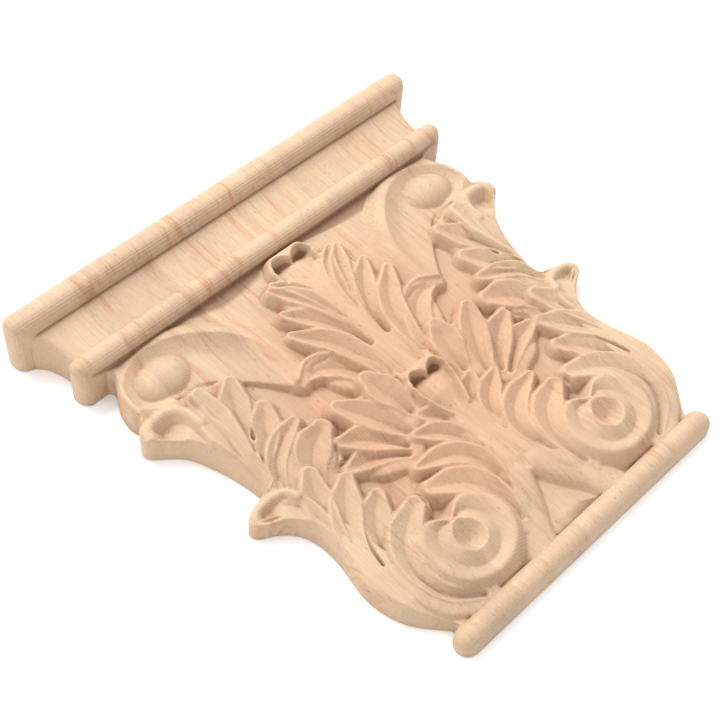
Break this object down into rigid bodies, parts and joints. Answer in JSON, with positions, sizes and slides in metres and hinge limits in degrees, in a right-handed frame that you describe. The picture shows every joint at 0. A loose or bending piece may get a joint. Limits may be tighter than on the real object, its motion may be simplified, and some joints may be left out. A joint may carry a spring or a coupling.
{
  "type": "carved capital applique",
  "caption": "Flat-backed carved wooden capital with a moulded abacus, acanthus leaves, scrolled volutes and a foot bead.",
  "frame": {"origin": "centre of the flat back's width and height, on the back face", "axes": "+X across the work, +Y from the foot bead towards the abacus, +Z out of the relief"},
  "size_m": [0.202, 0.2, 0.024],
  "materials": {
    "pale_wood": "unfinished, sanded, matt"
  },
  "bodies": {
    "root": {"carved_capital": "pale_wood"}
  },
  "joints": []
}
